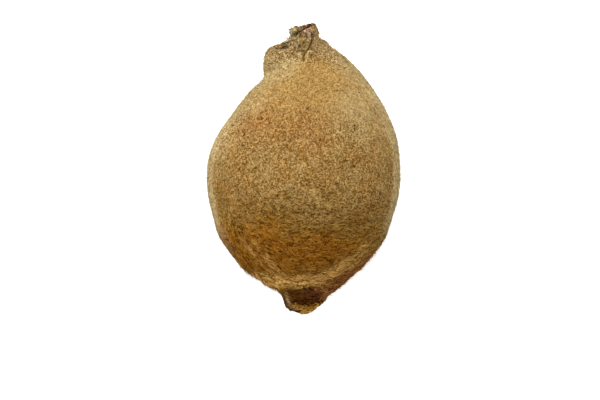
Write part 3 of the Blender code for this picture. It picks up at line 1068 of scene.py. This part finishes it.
@dataclass
class WitheredCalyx:
    """The crumpled cup round the stalk scar and its sepals. Lengths are in millimetres."""

    ridge_size: float = 0.42
    ridge_height: float = 0.08
    crumple_height: float = 0.11
    fold_height: float = 0.14
    scar_height: float = 0.07
    slit_depth: float = 0.2
    rim_lift: float = 0.25
    floor_station: float = 16.85
    tip_sink: float = 0.45
    slit: Line = ((-1.5, 16.25), (-0.45, 16.95), (0.65, 17.65))
    pink: Patch = Patch(0.5, 16.9, 0.9, 0.7)
    fuzz: Hair = Hair((0.15, 0.35), (0.04, 0.07))
    shred: Hair = Hair((0.3, 0.75), (0.14, 0.3), 0.3, 0.5, 3)

    def build(self) -> list[Piece]:
        """Makes the calyx, its sparse hairs and its shreds, and returns their objects."""
        piece = FineCopy("calyx", "withered_calyx").make()
        mesh = piece.data
        places, normals = points_of(mesh)
        at = NeckShape().slimmed(places / MM)
        at[:, 1] += self.rim_lift * hill((at[:, 0] + 0.7) / 1.2, 1.0) * ease(at[:, 1], 16.2, 17.0)
        above = ease(at[:, 2], SPINE_HEIGHT + 0.5, SPINE_HEIGHT + 1.0)
        at[:, 2] -= self.tip_sink * ease(at[:, 1], 14.6, 14.15) * above
        x, y, up = at[:, 0] - 0.1, at[:, 1], at[:, 2] - SPINE_HEIGHT - 0.1
        face = ease(up, -0.3, 0.3)
        outward = np.hypot(x, up)
        turned = np.arctan2(up, x)
        bent = y + 0.4 * wander(at, 0.9, 5.5)
        round_cup = np.column_stack((np.cos(turned) * 2.0, bent, np.sin(turned) * 2.0))
        ridge = ridges(round_cup, (self.ridge_size, 1.6, self.ridge_size), 3.3)
        crumple = wander(at, 0.7, 9.1) + 0.5 * wander(at, 0.3, 2.1)
        torn = ease(x, -0.5, -1.1) * ease(y, 15.6, 16.0)
        # The slit is carved and darkened with painted shade.
        slit = hill(line_distance(x, y, self.slit), 0.13) * face
        out = ease(outward, 0.9, 1.5)
        height = self.ridge_height * ridge + self.crumple_height * crumple * (1.0 + torn)
        height = height + self.fold_height * ridges(at, 0.55, 4.4) * torn - self.slit_depth * slit
        height = height * out + self.scar_height * wander(at, 0.3, 1.7) * (1.0 - out)
        move_points(mesh, at, normals, height)
        # The floor of the cup: the scar's own dark, deepened by painted shade.
        hole = ease(y, self.floor_station - 0.3, self.floor_station) * ease(outward, 1.3, 0.95)
        # Painted shade along the crease at the tongue's edge, with the dark specks' own colour.
        edge = hill(line_distance(at[:, 0], y, CREASE), 0.09)
        edge = np.maximum(edge, 0.85 * near_specks(at[:, 0], y)) * face
        ragged = ease(y, 15.7, 16.2) * (1.0 - hole) * (0.35 + ease(x, -0.4, -1.0))
        # Painted shade in the low hollows of the crumpled surface by the cup.
        cavity_shade = 0.8 * ease(height, -0.05, -0.2) * ease(y, 15.6, 16.2) * ease(x, 1.0, 0.6)
        flat = np.column_stack((np.sin(3.0 * crumple), -np.cos(3.0 * crumple), np.zeros(len(at))))
        values = {
            "ridge": 0.5 + 0.5 * np.clip(ridge, -1.0, 1.0),
            "recess": np.clip(hole + slit + edge + cavity_shade, 0.0, 1.0),
            "olive": np.maximum(ease(x, -0.5, -1.3), 1.0 - face),
            "felted": ease(x, 0.8, 1.2) * ease(y, 17.3, 16.6),
            "scar": hole,
            "pink": self.pink.values(x, y) * face,
            Mark.COVER.value: np.clip(1.0 - slit - edge - hole, 0.0, 1.0),
            Mark.RAGGED.value: np.clip(ragged - slit, 0.0, 1.0),
            Flow.LIE.value: flat - normals * (flat * normals).sum(1)[:, None],
        }
        for name, kept in values.items():
            keep_values(mesh, name, kept)
        mesh.materials.clear()
        mesh.materials.append(CalyxFinish().material())
        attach(piece, "root")
        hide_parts("calyx")
        rough = CalyxFinish().fuzz()
        layers = (
            HairLayer("calyx_fuzz", self.fuzz, 24.0, 35, 0.35, 0.5),
            HairLayer("calyx_shreds", self.shred, 6.0, 36, 0.5, 0.7, Mark.RAGGED),
        )
        return [piece, *(layer.build(piece, rough, "calyx") for layer in layers)]


@dataclass(frozen=True)
class Lamp:
    """A soft lamp: where it hangs, the width of its square face, and its power in watts."""

    name: str
    place: Triple
    size: float
    power: float

    def hang(self, aim: Vector) -> None:
        """Hangs the lamp so that it points at a place."""
        light = bpy.data.lights.new(self.name, "AREA")
        light.size, light.energy = self.size, self.power
        made = placed(self.name, light)
        made.location = self.place
        made.rotation_euler = (aim - Vector(self.place)).to_track_quat("-Z", "Y").to_euler()


@dataclass
class Studio:
    """The table, the lights and the camera."""

    lamps: tuple[Lamp, ...] = (
        Lamp("key", (-0.05, 0.38, 0.45), 0.35, 3.4),
        Lamp("fill", (-0.45, -0.05, 0.35), 0.4, 0.8),
    )
    lamp_aim: Triple = (0.0, 0.0, 0.01)
    room_light: float = 0.6
    table_size: float = 3.0
    lens: float = 150.0
    sensor: float = 36.0
    view_width: float = 0.07317
    aim: tuple[float, float] = (-0.00043, -0.00354)

    def build(self) -> None:
        """Sets the table, the lights and the camera."""
        self.table()
        self.world()
        for lamp in self.lamps:
            lamp.hang(Vector(self.lamp_aim))
        self.camera()

    def table(self) -> None:
        """Makes the table."""
        bm = bmesh.new()
        bmesh.ops.create_grid(bm, x_segments=8, y_segments=8, size=self.table_size / 2)
        made = placed("table", mesh_from(bm, "table"))
        made.data.materials.append(TableFinish().material())

    def world(self) -> None:
        """Makes the even light of a white room."""
        world = bpy.data.worlds.new("white_room")
        world.use_nodes = True
        w = Wiring(world.node_tree)
        world.node_tree.nodes.clear()
        sockets = {"Color": (1.0, 1.0, 1.0), "Strength": self.room_light}
        light = w.node("ShaderNodeBackground", None, sockets)
        w.node("ShaderNodeOutputWorld", None, {"Surface": light.outputs[0]})
        bpy.context.scene.world = world

    def camera(self) -> None:
        """Hangs the camera straight above the fruit."""
        data = bpy.data.cameras.new("camera")
        data.lens, data.sensor_width = self.lens, self.sensor
        data.clip_start, data.clip_end = 0.01, 20.0
        made = placed("camera", data)
        above = self.view_width * self.lens / self.sensor
        made.location = (*self.aim, SPINE_HEIGHT * MM + above)
        bpy.context.scene.camera = made
        bpy.context.scene.view_settings.view_transform = "Standard"


def report(piece: Piece) -> None:
    """Logs a finished piece's size."""
    mesh = piece.data
    mesh.calc_loop_triangles()
    LOG.info("%s: %d points, %d triangles", piece.name, len(mesh.vertices), len(mesh.loop_triangles))


def main() -> None:
    """Builds every piece in order."""
    logging.basicConfig(level=logging.INFO, format="%(name)s: %(message)s")
    husk = Husk().build()
    for piece in (husk, *HairCoat().build(husk), *WitheredCalyx().build()):
        report(piece)
    Studio().build()


if __name__ == "__main__":
    main()
